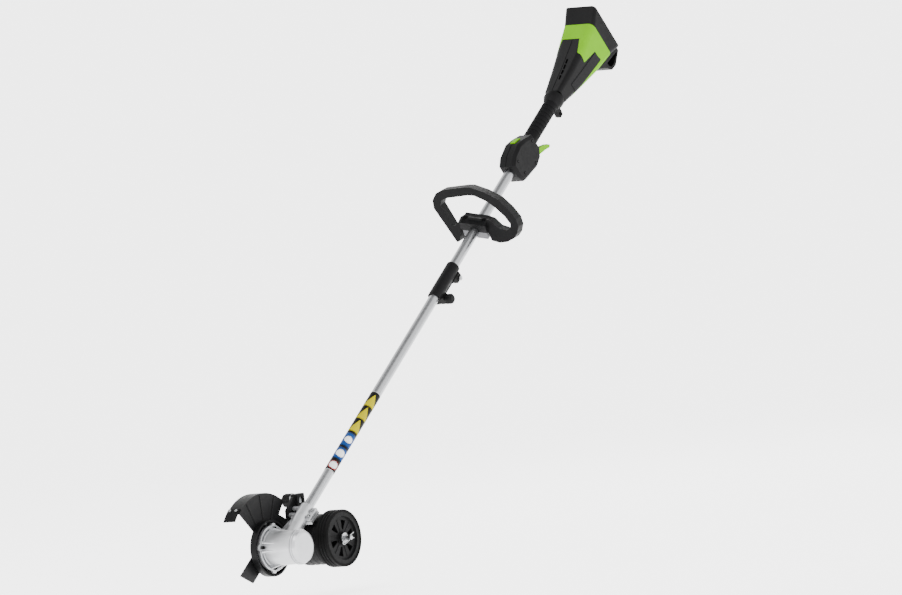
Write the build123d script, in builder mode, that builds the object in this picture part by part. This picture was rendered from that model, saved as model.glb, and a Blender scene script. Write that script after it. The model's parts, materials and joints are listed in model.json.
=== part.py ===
from build123d import *
from math import cos, pi, radians, sin
import os

# Battery lawn edger. A direct-drive motor head with blade, guard and wheels hangs on a two-piece
# shaft; the operator holds the rear grip at the origin and the loop handle halfway down.
# +X points to the wheel side, -Y is the direction of travel, +Z is up.

os.makedirs("parts", exist_ok=True)

# ---- shaft and clearances
shaft_rise = 36.0        # angle of the shaft above the ground, degrees
grip_station = 1433.0    # from the motor axis up the shaft to the middle of the rear grip
tube_r = 12.0
tube_wall = 1.6
slip = 0.05              # radial clearance of a sliding or turning fit
gap = 0.4                # clearance beside a part that only passes
wall = 2.6               # wall of the moulded casings

# ---- motor head, measured along +X from the shaft plane
can_r = 41.0
can_wall = 6.0
can_end = 63.0
flange_r = 53.0
flange_face = -33.0
flange_t = 7.0
plate_t = 6.0
shaft_r = 6.0
front_bearing_r = 16.0
rear_bearing_r = 13.0
bearing_w = 9.0
rotor_r = 20.0
air_gap = 0.8
socket_r = 17.5
socket_top = 132.0
socket_floor = 62.0
drum_r = 65.0
drum_face = -46.0
drum_t = 3.0
drum_back = -30.0

# ---- blade, guard
blade_w = 44.5
blade_t = 2.5
blade_long = 115.0       # spindle to the long corner, along the blade
blade_short = 92.0       # spindle to the short corner
blade_clear = 2.0        # blade to guard plate
arbor_r = 12.7
flange_disc_r = 20.0
guard_r = 128.0
guard_t = 2.5
guard_depth = 37.0
guard_from = 15.0        # degrees from the shaft towards its upper side
guard_to = 98.0

# ---- wheels and depth setting, in upright coordinates from the motor axis
axle_back = 135.0
axle_up = 1.0
axle_r = 5.0
roller_r = 58.0
roller_from = -31.0
roller_w = 70.0
tyre_r = 66.0
tyre_w = 34.0
rim_r = 59.5
washer_t = 0.8
depth_back = 114.0
depth_up = 97.0
depth_travel = 25.0
depth_bolt_r = 4.0
strut_t = 6.0
rail_face = -34.3
rail_t = 14.3
knob_r = 16.0

# ---- stations along the shaft
label_from = 251.0
label_to = 510.0
coupler_from = 838.0
coupler_to = 944.0
coupler_r = 16.0
tube_break = 890.0
handle_station = 1081.0
handle_turn = -14.0      # the loop is set over to the wheel side by this angle, degrees
handle_lean = 26.6       # and leans back along the shaft
loop_depth = 26.0
block_len = 36.0
trigger_from = 1261.0
trigger_to = 1372.0
trigger_half = 24.0
grip_to = 1494.0
grip_r = 17.5
collar_to = 1521.0
neck = 1522.0
waist = 1585.0
shoulder = 1650.0
hip = 1710.0
rear = 1747.0
bay_half = 33.0
bay_low = -34.0
bay_high = 38.0
bay_floor = 1664.0

# ---- frames
along = Vector(0, cos(radians(shaft_rise)), sin(radians(shaft_rise)))
over = Vector(0, -along.Z, along.Y)
side = Vector(1, 0, 0)
head = along * -grip_station


def station(s):
    """Plane across the shaft: local x is +X, local y its upper side, z points down the shaft."""
    return Plane(origin=head + along * s, x_dir=side, z_dir=-along)


def flank(x):
    """Plane beside the shaft: local x runs up the shaft, local y to its upper side."""
    return Plane(origin=head + side * x, x_dir=along, z_dir=side)


def deck(n):
    """Plane over the shaft: local x is +X, local y runs up the shaft, z is its upper side."""
    return Plane(origin=head + over * n, x_dir=side, z_dir=over)


def level(x):
    """Upright plane through the motor axis: local x runs back, local y up, z is +X."""
    return Plane(origin=head + side * x, x_dir=(0, 1, 0), z_dir=side)


def rod(seat, radius, length, bore=0.0, at=(0, 0)):
    """Round bar, or tube when it has a bore, standing on the seat plane."""
    with BuildPart() as bar:
        with BuildSketch(seat):
            with Locations(at):
                Circle(radius)
                if bore > 0:
                    Circle(bore, mode=Mode.SUBTRACT)
        extrude(amount=length)
    return bar.part


def block(seat, width, height, length, corner=0.0, at=(0, 0)):
    """Rectangular block with rounded corners standing on the seat plane."""
    with BuildPart() as bar:
        with BuildSketch(seat):
            with Locations(at):
                if corner > 0:
                    RectangleRounded(width, height, corner)
                else:
                    Rectangle(width, height)
        extrude(amount=length)
    return bar.part


def screw(seat, head_r, head_h, shank_r, shank_len, at=(0, 0)):
    """Socket-head screw: the head stands on the seat plane and the shank runs below it."""
    with BuildPart() as fastener:
        add(rod(seat, head_r, head_h, at=at))
        add(rod(seat, shank_r, -shank_len, at=at))
        with BuildSketch(seat.offset(head_h)):
            with Locations(at):
                RegularPolygon(head_r * 0.55, 6)
        extrude(amount=-head_h * 0.6, mode=Mode.SUBTRACT)
    return fastener.part


def sector(plane, r_in, r_out, start, stop, length):
    """Plate in the shape of a ring sector."""
    with BuildPart() as plate:
        with BuildSketch(plane):
            with BuildLine():
                outer = CenterArc((0, 0), r_out, start, stop - start)
                inner = CenterArc((0, 0), r_in, start, stop - start)
                Line(outer @ 0, inner @ 0)
                Line(outer @ 1, inner @ 1)
            make_face()
        extrude(amount=length)
    return plate.part


def profile(plane, points, length, corner=0.0):
    """Plate cut to an outline."""
    with BuildPart() as plate:
        with BuildSketch(plane) as outline:
            with BuildLine():
                Polyline(*points, close=True)
            make_face()
            if corner > 0:
                fillet(outline.vertices(), corner)
        extrude(amount=length)
    return plate.part


# ---- shaft tubes -----------------------------------------------------------------------------
lower_top = tube_break - 1.0
upper_foot = tube_break + 2.0
upper_top = waist - 10.0

with BuildPart() as lower_tube:
    add(rod(station(lower_top), tube_r, lower_top - socket_floor, tube_r - tube_wall))

with BuildPart() as upper_tube:
    add(rod(station(upper_top), tube_r, upper_top - upper_foot, tube_r - tube_wall))

with BuildPart() as tube_label:
    add(rod(station(label_to), tube_r + 0.35, label_to - label_from, tube_r))

# ---- wire harness: a lead in each tube, with a plug joint in the coupler -----------------------
lead_r = 3.5
plug_r = tube_r - tube_wall - 0.2
pin_r = 4.2
pin_len = 12.0
lead_foot = socket_floor - 14.0
board_station = shoulder - 12.0

with BuildPart() as lower_harness:
    add(rod(station(lower_top - 20), lead_r, lower_top - 20 - lead_foot))
    add(rod(station(lower_top - 3), plug_r, 17))
    add(rod(station(lower_top - 3 + pin_len), pin_r, pin_len))

with BuildPart() as upper_harness:
    add(rod(station(upper_foot + 22), plug_r, 22))
    add(rod(station(upper_foot + pin_len), pin_r + 0.3, pin_len), mode=Mode.SUBTRACT)
    add(rod(station(board_station - gap), lead_r, board_station - gap - upper_foot - 22))

# ---- coupler: a split sleeve fixed on the upper tube, clamped on the lower one -----------------
ear_out = 15.0
ear_low = -28.0
ear_mid = -21.5
slit = 2.4
low_ear = coupler_from + 18.0
high_ear = coupler_to - 17.0
ear_len = 20.0
clamp_bolt_r = 3.0

with BuildPart() as coupler_sleeve:
    add(rod(station(coupler_to), coupler_r, coupler_to - coupler_from))
    for middle in (low_ear, high_ear):
        add(block(station(middle + ear_len / 2), 2 * ear_out, 18, ear_len, 3, at=(0, ear_low + 9)))
    add(block(station(high_ear), 2 * (slit + 2), 10, high_ear - low_ear, at=(0, -coupler_r)))
    add(rod(station(coupler_to), tube_r + slip, coupler_to - coupler_from), mode=Mode.SUBTRACT)
    add(block(station(coupler_to), slit, 24, coupler_to - coupler_from, at=(0, -23)), mode=Mode.SUBTRACT)
    with BuildSketch(flank(-ear_out)):
        with Locations((low_ear, ear_mid), (high_ear, ear_mid)):
            Circle(clamp_bolt_r + slip)
    extrude(amount=2 * ear_out, mode=Mode.SUBTRACT)

with BuildPart() as coupler_bolt:
    with BuildSketch(flank(-ear_out)):
        with Locations((low_ear, ear_mid), (high_ear, ear_mid)):
            RegularPolygon(5.8, 6)
    extrude(amount=-4)
    add(rod(flank(-ear_out), clamp_bolt_r, 2 * ear_out + 13, at=(low_ear, ear_mid)))
    add(rod(flank(-ear_out), clamp_bolt_r, 2 * ear_out + 6, at=(high_ear, ear_mid)))
    with BuildSketch(flank(ear_out)):
        with Locations((high_ear, ear_mid)):
            RegularPolygon(5.8, 6)
    extrude(amount=5)


def hand_knob(seat, radius, height, bore, lobes, at=(0, 0)):
    """Knob with a scalloped grip, standing on the seat plane."""
    with BuildPart() as knob:
        add(rod(seat, radius, height, at=at))
        chamfer(knob.faces().sort_by(Axis(seat.origin, seat.z_dir))[-1].edges(), height * 0.25)
        with BuildSketch(seat):
            with Locations(at):
                with PolarLocations(radius * 1.12, lobes):
                    Circle(radius * 0.26)
        extrude(amount=height, mode=Mode.SUBTRACT)
        add(rod(seat, bore, height * 0.8, at=at), mode=Mode.SUBTRACT)
    return knob.part


with BuildPart() as coupler_knob:
    add(hand_knob(flank(ear_out + gap), 12, 18, clamp_bolt_r + slip, 6, at=(low_ear, ear_mid)))

# ---- loop handle -----------------------------------------------------------------------------
turn = radians(handle_turn)
across = side * cos(turn) + over * sin(turn)
rise = over * cos(turn) - side * sin(turn)
lean = radians(handle_lean)
handle_origin = head + along * handle_station
loop_up = rise * cos(lean) + along * sin(lean)
loop_plane = Plane(origin=handle_origin, x_dir=across, z_dir=across.cross(loop_up))
clamp_plane = Plane(origin=handle_origin + along * (block_len / 2), x_dir=across, z_dir=-along)
bolt_out = 24.0
clamp_half = 34.0
block_top = 23.0
clamp_low = -21.0
clamp_split = 1.5
handle_bolt_r = 3.0

loop_outer = [(-47, -42), (-107, 34), (-110, 53), (-101, 71), (-84, 81), (-26, 95), (-10, 97), (26, 90), (62, 77),
              (89, 57), (109, 36), (115, 18), (111, 0), (102, -13), (86, -23), (65, -28), (44, -25), (34, -4),
              (-36, -4), (-40, -36)]
loop_inner = [(-56, -6), (-90, 44), (-86, 56), (-73, 63), (-16, 77), (1, 78), (35, 68), (57, 55), (80, 38), (94, 22),
              (94, 12), (84, 4), (60, 8), (42, 22), (36, 24), (-36, 24), (-44, 8)]
loop_round = 4.0


def across_clamp(rise_by):
    """Plane over the clamp block, square to its bolts."""
    return Plane(origin=handle_origin + rise * rise_by, x_dir=across, z_dir=rise)


with BuildPart() as handle_loop:
    with BuildSketch(loop_plane) as rim:
        Polygon(*loop_outer, align=None)
        fillet(rim.vertices(), loop_round)
    extrude(amount=loop_depth / 2, both=True)
    with BuildSketch(loop_plane) as opening:
        Polygon(*loop_inner, align=None)
        fillet(opening.vertices(), loop_round)
    extrude(amount=loop_depth, both=True, mode=Mode.SUBTRACT)
    add(block(clamp_plane.offset(-6), 2 * clamp_half - 3, 40, block_len + 12, at=(0, -20)), mode=Mode.SUBTRACT)
    add(block(clamp_plane, 2 * clamp_half, block_top, block_len, 3, at=(0, block_top / 2)))
    add(rod(station(handle_station + 60), tube_r + slip, 120), mode=Mode.SUBTRACT)
    with BuildSketch(across_clamp(0)):
        with Locations((-bolt_out, 0), (bolt_out, 0)):
            Circle(handle_bolt_r)
    extrude(amount=40, both=True, mode=Mode.SUBTRACT)
    with BuildSketch(across_clamp(block_top - 5)):
        with Locations((-bolt_out, 0), (bolt_out, 0)):
            Circle(6.5)
    extrude(amount=40, mode=Mode.SUBTRACT)

with BuildPart() as handle_clamp:
    add(block(clamp_plane.offset(2), 2 * clamp_half - 4, -clamp_split - clamp_low, block_len - 4, 3,
              at=(0, (clamp_low - clamp_split) / 2)))
    add(rod(station(handle_station + 60), tube_r + slip, 120), mode=Mode.SUBTRACT)
    with BuildSketch(across_clamp(0)):
        with Locations((-bolt_out, 0), (bolt_out, 0)):
            Circle(handle_bolt_r)
    extrude(amount=-40, mode=Mode.SUBTRACT)

with BuildPart() as handle_bolts:
    add(screw(across_clamp(block_top - 5), 6, 4.5, handle_bolt_r, block_top - 5 - clamp_low + 6, at=(bolt_out, 0)))
    add(screw(across_clamp(block_top - 5), 6, 4.5, handle_bolt_r, block_top - 5 - clamp_low + 17, at=(-bolt_out, 0)))
    with BuildSketch(across_clamp(clamp_low)):
        with Locations((bolt_out, 0)):
            RegularPolygon(5.8, 6)
    extrude(amount=-5)

with BuildPart() as handle_knob:
    add(hand_knob(Plane(origin=across_clamp(clamp_low - gap).origin, x_dir=across, z_dir=-rise),
                  11, 21, handle_bolt_r + slip, 6, at=(-bolt_out, 0)))

# ---- trigger housing: two shells, trigger, lock-out button, switch ------------------------------
case_outline = [(trigger_from, -12), (trigger_from, 20), (1282, 34), (1316, 40), (1340, 33),
                (trigger_to, 19), (trigger_to, -19), (1357, -39), (1334, -46), (1282, -38), (1270, -34)]
case_bevel = 7.0
pivot = (1346.0, -28.0)
pivot_r = 2.5
trigger_half_w = 6.0
button_s = 1333.0
button_half = 6.0
button_len = 24.0
button_travel = 3.0


def case_half(hand):
    """One shell of the trigger housing; hand is 1 on the wheel side and -1 on the other."""
    with BuildPart() as shell:
        add(profile(flank(0), case_outline, hand * trigger_half))
        chamfer(shell.faces().sort_by(Axis.X)[-1 if hand > 0 else 0].edges(), case_bevel)
        with BuildSketch(flank(0)):
            Polygon(*case_outline, align=None)
            offset(amount=-wall, kind=Kind.INTERSECTION)
        extrude(amount=hand * (trigger_half - case_bevel), mode=Mode.SUBTRACT)
        add(rod(flank(hand * (trigger_half_w + gap)), 6, hand * (trigger_half - case_bevel - trigger_half_w), at=pivot))
        add(rod(flank(hand * (trigger_half - case_bevel)), 6, hand * 2, at=pivot))
        add(rod(station(trigger_to + 1), tube_r, trigger_to - trigger_from + 2), mode=Mode.SUBTRACT)
        add(rod(flank(0), pivot_r, hand * (trigger_half - wall), at=pivot), mode=Mode.SUBTRACT)
        add(block(flank(0), 46, 34, hand * (trigger_half_w + gap), at=(1361, -36)), mode=Mode.SUBTRACT)
        add(block(flank(0), button_len + 2 * gap, 20, hand * (button_half + gap), at=(button_s, 38)),
            mode=Mode.SUBTRACT)
    return shell.part


with BuildPart() as trigger_housing_left:
    add(case_half(1))

with BuildPart() as trigger_housing_right:
    add(case_half(-1))

with BuildPart() as trigger_pin:
    add(rod(flank(-trigger_half + wall + gap), pivot_r, 2 * (trigger_half - wall - gap), at=pivot))

lever_outline = [(1321, -23), (1350, -22), (1366, -29), (1392, -36), (1412, -47), (1419, -55),
                 (1414, -59), (1398, -52), (1372, -44), (1352, -37), (1321, -28.5)]

with BuildPart() as trigger:
    add(profile(flank(-trigger_half_w), lever_outline, 2 * trigger_half_w, 1.0))
    add(rod(flank(-trigger_half_w), 6.5, 2 * trigger_half_w, at=pivot))
    add(rod(flank(-trigger_half_w), pivot_r + slip, 2 * trigger_half_w, at=pivot), mode=Mode.SUBTRACT)

with BuildPart() as trigger_spring:
    add(rod(flank(trigger_half_w + gap + 6), 8.2, 3, 6.2, at=pivot))

with BuildPart() as trigger_switch:
    add(block(flank(-5), 18, 8, 10, at=(1305, -33.2)))
    add(block(flank(-2), 14, 0.8, 4, at=(1320, -36.1)))

with BuildPart() as lockout_button:
    cap = button_len / 2
    add(profile(flank(-button_half), [(button_s - cap, 27), (button_s + cap, 27), (button_s + cap, 34),
                                      (button_s - cap, 42)], 2 * button_half, 1.5))
    add(block(deck(25), 2 * button_half + 4, button_len + 4, 2, at=(0, button_s)))
    add(rod(deck(25), 4.6, 9, at=(0, button_s)), mode=Mode.SUBTRACT)

with BuildPart() as lockout_spring:
    add(rod(deck(tube_r + 0.1), 4.0, 17.5, 3.0, at=(0, button_s)))

# ---- rear grip and collar ------------------------------------------------------------------------
groove_pitch = 12.0
groove_depth = 1.2
groove_count = 8
strap_eye = (1502.0, -34.0)
strap_r = 4.5

with BuildPart() as rear_grip:
    add(rod(station(grip_to), grip_r, grip_to - trigger_to, tube_r))
    for index in range(groove_count):
        ring = grip_to - 14 - index * groove_pitch
        add(rod(station(ring), grip_r + 1, 3, grip_r - groove_depth), mode=Mode.SUBTRACT)

with BuildPart() as grip_collar:
    with BuildSketch(station(grip_to)):
        Circle(grip_r + 0.5)
    with BuildSketch(station(grip_to + 14)):
        Circle(grip_r + 6.5)
    loft()
    with BuildSketch(station(grip_to + 14)):
        Circle(grip_r + 6.5)
    extrude(amount=-(collar_to - grip_to - 14))
    add(profile(flank(-5), [(1496, -16), (1512, -16), (1512, -32), (1509, -42), (1498, -43), (1493, -36)], 10, 2))
    add(rod(station(collar_to + 1), tube_r, collar_to - grip_to + 2), mode=Mode.SUBTRACT)
    add(rod(flank(-8), strap_r, 16, at=strap_eye), mode=Mode.SUBTRACT)

# ---- power housing ---------------------------------------------------------------------------------
# each section: station, half width, low edge, high edge, corner radius
neck_section = (neck, 23.0, -18.0, 20.0, 9.0)
waist_section = (waist, 32.0, -29.0, 29.0, 12.0)
shoulder_section = (shoulder, 39.5, -39.5, 42.0, 14.0)
hip_section = (hip, 44.0, -44.5, 57.0, 14.0)
rear_section = (rear, 44.0, -52.0, 80.0, 10.0)


def casing(sections, inset=0.0):
    """Solid lofted through the given cross sections, each drawn in by the inset."""
    with BuildPart() as body:
        for place, half, low, high, corner in sections:
            with BuildSketch(station(place)):
                with Locations((0, (low + high) / 2)):
                    RectangleRounded(2 * (half - inset), high - low - 2 * inset, corner - inset)
        loft(ruled=True)
    return body.part


front_sections = (neck_section, waist_section, shoulder_section)
boss_places = ((1566.0, -19.0), (1636.0, -30.0), (1640.0, 32.0))
boss_r = 4.0
screw_r = 1.6
belly_outline = [(1528, -16), (1578, -24), (1564, -42), (1546, -39)]

with BuildPart() as front_shell:
    add(casing(front_sections))
    add(profile(flank(-7), belly_outline, 14, 2))
    add(casing(front_sections, wall), mode=Mode.SUBTRACT)
    add(profile(station(neck), [(-20, -15), (20, -15), (20, 17), (-20, 17)], -4))
    add(rod(station(waist), tube_r, 80), mode=Mode.SUBTRACT)

with BuildPart() as boss_bars:
    for place in boss_places:
        add(rod(flank(-60), boss_r, 120, at=place))
    add(casing(front_sections, 0.2), mode=Mode.INTERSECT)


def housing_half(hand):
    """One shell of the power housing, with its screw bosses."""
    with BuildPart() as shell:
        add(front_shell.part)
        add(boss_bars.part)
        add(block(Plane.YZ, 4000, 4000, -hand * 200), mode=Mode.SUBTRACT)
        for place in boss_places:
            add(rod(flank(-28), screw_r, 46, at=place), mode=Mode.SUBTRACT)
            add(rod(flank(-18), 3.2, -50, at=place), mode=Mode.SUBTRACT)
    return shell.part


with BuildPart() as power_housing_left:
    add(housing_half(1))

with BuildPart() as power_housing_right:
    add(housing_half(-1))

with BuildPart() as housing_screws:
    for place in boss_places:
        add(screw(Plane(origin=flank(-18).origin, x_dir=along, z_dir=-side), 3.0, 2.4, screw_r, 30,
                  at=(place[0], -place[1])))

with BuildPart() as colour_band:
    add(casing((shoulder_section, hip_section)))
    add(casing((shoulder_section, hip_section), wall), mode=Mode.SUBTRACT)

liner = 2.4
bay_mid = (bay_low + bay_high) / 2
bay_tall = bay_high - bay_low
latch_s = 1727.0
latch_x = -39.5
latch_half = 6.5
latch_pin_r = 1.5
foot_outline = [(1684, -40), (1746, -50), (1746, -60), (1713, -77), (1694, -75), (1684, -60)]
foot_hole = [(1692, -51), (1737, -57), (1737, -60), (1711, -70), (1698, -69), (1692, -60)]

with BuildPart() as rear_frame:
    add(casing((hip_section, rear_section)))
    add(block(station(hip), 2 * (bay_half + liner), bay_tall + 2 * liner, hip - bay_floor + liner, 12,
              at=(0, bay_mid)))
    add(profile(flank(-36), foot_outline, 72, 4))
    with BuildSketch(flank(-40)):
        Polygon(*foot_hole, align=None)
    extrude(amount=80, mode=Mode.SUBTRACT)
    add(casing((shoulder_section, hip_section)), mode=Mode.SUBTRACT)
    add(block(station(hip), 2 * (bay_half + liner), bay_tall + 2 * liner, hip - bay_floor + liner, 12,
              at=(0, bay_mid)))
    add(block(station(rear + 1), 2 * bay_half, bay_tall, rear + 1 - bay_floor, 10, at=(0, bay_mid)),
        mode=Mode.SUBTRACT)
    for rail in (-1, 1):
        add(block(station(rear - 6), 5, 6, rear - 6 - bay_floor, at=(rail * (bay_half - 2.5), 12)))
    add(block(flank(-50), 36, 18, 50 - bay_half + 1, at=(latch_s, 0)), mode=Mode.SUBTRACT)
    add(rod(Plane(origin=deck(-12).origin, x_dir=side, z_dir=over), latch_pin_r + slip, 24,
            at=(latch_x, latch_s)), mode=Mode.SUBTRACT)

latch_outline = [(-43, latch_s + 16), (-36.5, latch_s + 16), (-36.5, latch_s - 7), (-30.5, latch_s - 7),
                 (-36.5, latch_s - 16), (-42.5, latch_s - 16)]

with BuildPart() as battery_latch:
    add(profile(deck(-latch_half), latch_outline, 2 * latch_half))
    add(rod(deck(-11), latch_pin_r, 22, at=(latch_x, latch_s)))

with BuildPart() as latch_spring:
    add(rod(deck(latch_half + 0.3), 3.0, 1.8, latch_pin_r + 0.3, at=(latch_x, latch_s)))

badge_s = 1619.0
flare = (shoulder_section[1] - waist_section[1]) / (shoulder - waist)
badge_face = Plane(origin=head + along * badge_s + side * (waist_section[1] + flare * (badge_s - waist)),
                   x_dir=along + side * flare, z_dir=side - along * flare)

with BuildPart() as badge_plate:
    add(block(badge_face, 46, 16, 1.0, 3, at=(0, -6)))

with BuildPart() as terminal_block:
    add(block(station(bay_floor + 14), 36, 22, 14, 2, at=(0, bay_mid)))
    for blade_x in (-12, -4, 4, 12):
        add(block(station(bay_floor + 26), 1.2, 8, 12, at=(blade_x, bay_mid)))

with BuildPart() as control_board:
    add(block(station(board_station + 2), 56, 52, 2, at=(0, 0)))
    add(block(station(board_station + 8), 30, 24, 6, at=(0, 10)))
    add(rod(station(board_station + 8), 5, 6, at=(-18, -14)))

# ---- motor head -------------------------------------------------------------------------------------
slot_ring = 46.0
flange_bolt_r = 2.5
boss_stations = (122.0, 100.0)
boss_over = 9.0
lug_out = 30.0
lug_low = -14.0
lug_high = 3.0
lug_from = 90.0
lug_to = 128.0
socket_bolts_s = (99.0, 119.0)
socket_bolt_x = 23.5
head_axis = Axis(head, side)


def turned(points):
    """Solid of revolution about the motor axis from points given as (place along X, radius)."""
    with BuildPart() as solid:
        with BuildSketch(station(0)):
            Polygon(*points, align=None)
        revolve(axis=head_axis)
    return solid.part


plate_back = flange_face - plate_t
rotor_from = -10.0
rotor_to = 36.0

with BuildPart() as motor_housing:
    add(turned([(flange_face, 0), (flange_face, flange_r), (flange_face + flange_t, flange_r),
                (flange_face + flange_t, can_r), (can_end - 9, can_r - 2), (can_end - 2.5, can_r - 5),
                (can_end, can_r - 11), (can_end, 0)]))
    with BuildSketch(flank(flange_face)):
        with PolarLocations(flange_r - 3, 4, start_angle=45):
            Circle(8)
    extrude(amount=flange_t)
    add(rod(station(socket_top), socket_r, socket_top - can_r + 8))
    with BuildSketch(deck(-8)):
        Polygon((-29, 46), (-29, 60), (-15, 106), (-10, 106), (-10, 46), align=None)
    extrude(amount=16)
    add(block(station(lug_to), lug_out - 10, lug_high - lug_low, lug_to - lug_from, 2,
              at=((lug_out + 10) / 2, (lug_high + lug_low) / 2)))
    for boss in boss_stations:
        add(rod(flank(rail_face + 7), 6, 20, at=(boss, boss_over)))
    add(turned([(flange_face - 1, 0), (flange_face - 1, can_r - can_wall), (can_end - 8, can_r - can_wall),
                (can_end - 8, rear_bearing_r + 4), (can_end - 17, rear_bearing_r + 4),
                (can_end - 17, rear_bearing_r), (can_end - 6, rear_bearing_r), (can_end - 6, 0)]),
        mode=Mode.SUBTRACT)
    add(rod(station(socket_top + 1), tube_r, socket_top + 1 - socket_floor), mode=Mode.SUBTRACT)
    add(rod(station(socket_floor + 1), 7, socket_floor - can_r + can_wall + 8), mode=Mode.SUBTRACT)
    add(block(station(socket_top + 1), 26, 1.6, socket_top - lug_from + 5, at=(20, -5)), mode=Mode.SUBTRACT)
    for bolt_s in socket_bolts_s:
        add(rod(deck(lug_low - 1), flange_bolt_r, 30, at=(socket_bolt_x, bolt_s)), mode=Mode.SUBTRACT)
    for boss in boss_stations:
        add(rod(flank(rail_face + 7), 2.5, 8, at=(boss, boss_over)), mode=Mode.SUBTRACT)
    with BuildSketch(flank(flange_face)):
        with PolarLocations(slot_ring, 4, start_angle=45):
            Circle(flange_bolt_r)
    extrude(amount=flange_t, mode=Mode.SUBTRACT)
    for quarter in (90, 180, 270):
        slot = sector(flank(flange_face), slot_ring - 2.5, slot_ring + 2.5, quarter - 26, quarter + 26, flange_t)
        add(slot, mode=Mode.SUBTRACT)

with BuildPart() as bearing_plate:
    add(turned([(plate_back, shaft_r + 2), (plate_back, flange_r - 3), (flange_face, flange_r - 3),
                (flange_face, front_bearing_r + 5), (flange_face + 8, front_bearing_r + 5),
                (flange_face + 8, shaft_r + 2)]))
    add(turned([(plate_back + 3, 0), (plate_back + 3, front_bearing_r), (flange_face + 9, front_bearing_r),
                (flange_face + 9, 0)]), mode=Mode.SUBTRACT)
    add(rod(flank(plate_back - 1), shaft_r + 2, 8), mode=Mode.SUBTRACT)
    with BuildSketch(flank(plate_back)):
        with PolarLocations(slot_ring, 4, start_angle=45):
            Circle(flange_bolt_r)
    extrude(amount=plate_t, mode=Mode.SUBTRACT)

with BuildPart() as flange_screws:
    for quarter in range(4):
        spot = (slot_ring * cos(pi / 4 + quarter * pi / 2), slot_ring * sin(pi / 4 + quarter * pi / 2))
        add(screw(flank(flange_face + flange_t), 4.2, 4.5, flange_bolt_r,
                  flange_face + flange_t - drum_face - drum_t - 1, at=spot))

with BuildPart() as socket_bolts:
    for bolt_s in socket_bolts_s:
        add(screw(deck(lug_high), 4.2, 4.5, flange_bolt_r, lug_high - lug_low + 4, at=(socket_bolt_x, bolt_s)))
        with BuildSketch(deck(lug_low)):
            with Locations((socket_bolt_x, bolt_s)):
                RegularPolygon(4.4, 6)
        extrude(amount=-3)
    for boss in boss_stations:
        add(screw(Plane(origin=flank(rail_face).origin, x_dir=along, z_dir=-side), 4.2, 3.4, flange_bolt_r, 13,
                  at=(boss, -boss_over)))

with BuildPart() as stator:
    add(rod(flank(rotor_from), can_r - can_wall - 0.02, rotor_to - rotor_from, rotor_r + air_gap))
    with BuildSketch(flank(rotor_from)):
        with PolarLocations(28, 12):
            SlotCenterToCenter(5, 5.5)
    extrude(amount=rotor_to - rotor_from, mode=Mode.SUBTRACT)
    add(rod(flank(rotor_from - 6), 32, 6, 23))
    add(rod(flank(rotor_to), 32, 6, 23))

front_bearing_from = plate_back + 3
rear_bearing_from = can_end - 6 - bearing_w

with BuildPart() as front_bearing:
    add(rod(flank(front_bearing_from), front_bearing_r - 0.02, bearing_w, shaft_r + slip))
    add(rod(flank(front_bearing_from), front_bearing_r - 4, 1, shaft_r + 3), mode=Mode.SUBTRACT)

with BuildPart() as rear_bearing:
    add(rod(flank(rear_bearing_from), rear_bearing_r - 0.02, bearing_w, shaft_r + slip))
    add(rod(flank(rear_bearing_from), rear_bearing_r - 3, 1, shaft_r + 2), mode=Mode.SUBTRACT)

with BuildPart() as rotor:
    add(rod(flank(rotor_from), rotor_r, rotor_to - rotor_from, shaft_r))
    with BuildSketch(flank(rotor_from)):
        with PolarLocations(rotor_r + 1.4, 8):
            Circle(2.2)
    extrude(amount=rotor_to - rotor_from, mode=Mode.SUBTRACT)

# ---- blade stack ------------------------------------------------------------------------------------
guard_face = drum_face - guard_t
blade_face = guard_face - blade_clear
blade_out = blade_face - blade_t
clamp_out = blade_out - 4.0
nut_out = clamp_out - 9.0

with BuildPart() as spindle:
    add(rod(flank(nut_out - 4), shaft_r, can_end - 7 - nut_out + 4))
    chamfer(spindle.faces().sort_by(Axis.X)[0].edges(), 1)

with BuildPart() as inner_flange:
    add(rod(flank(blade_face), flange_disc_r, 9, shaft_r))
    add(rod(flank(blade_out + 0.2), arbor_r - slip, blade_t - 0.2, shaft_r))

with BuildPart() as blade:
    half = blade_w / 2
    add(profile(flank(blade_out), [(-blade_long, half), (-blade_short, -half), (blade_long, -half),
                                   (blade_short, half)], blade_t))
    add(rod(flank(blade_out), arbor_r, blade_t), mode=Mode.SUBTRACT)

with BuildPart() as outer_flange:
    add(rod(flank(clamp_out), flange_disc_r, blade_out - clamp_out, shaft_r))
    chamfer(outer_flange.faces().sort_by(Axis.X)[0].edges().sort_by(SortBy.LENGTH)[-1], 1.5)

with BuildPart() as blade_nut:
    with BuildSketch(flank(nut_out)):
        RegularPolygon(10.4, 6)
        Circle(shaft_r, mode=Mode.SUBTRACT)
    extrude(amount=clamp_out - nut_out)

# ---- hub plate and guard ------------------------------------------------------------------------------
guard_bolt_ring = 57.0
guard_bolt_angles = (30.0, 57.0, 84.0)
drum_wall = 4.0

with BuildPart() as hub_plate:
    add(rod(flank(drum_face), drum_r, drum_t, 25))
    add(rod(flank(drum_face), drum_r, drum_back - drum_face, drum_r - drum_wall))
    with BuildSketch(flank(drum_face + drum_t)):
        with PolarLocations(slot_ring, 4, start_angle=45):
            Circle(6)
    extrude(amount=plate_back - drum_face - drum_t)
    with BuildSketch(flank(drum_face + drum_t)):
        with PolarLocations(slot_ring, 4, start_angle=45):
            Circle(flange_bolt_r)
    extrude(amount=plate_back - drum_face, mode=Mode.SUBTRACT)
    for angle in guard_bolt_angles:
        spot = (guard_bolt_ring * cos(radians(angle)), guard_bolt_ring * sin(radians(angle)))
        add(rod(flank(drum_face - 1), 2.0, drum_t + 2, at=spot), mode=Mode.SUBTRACT)

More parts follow.
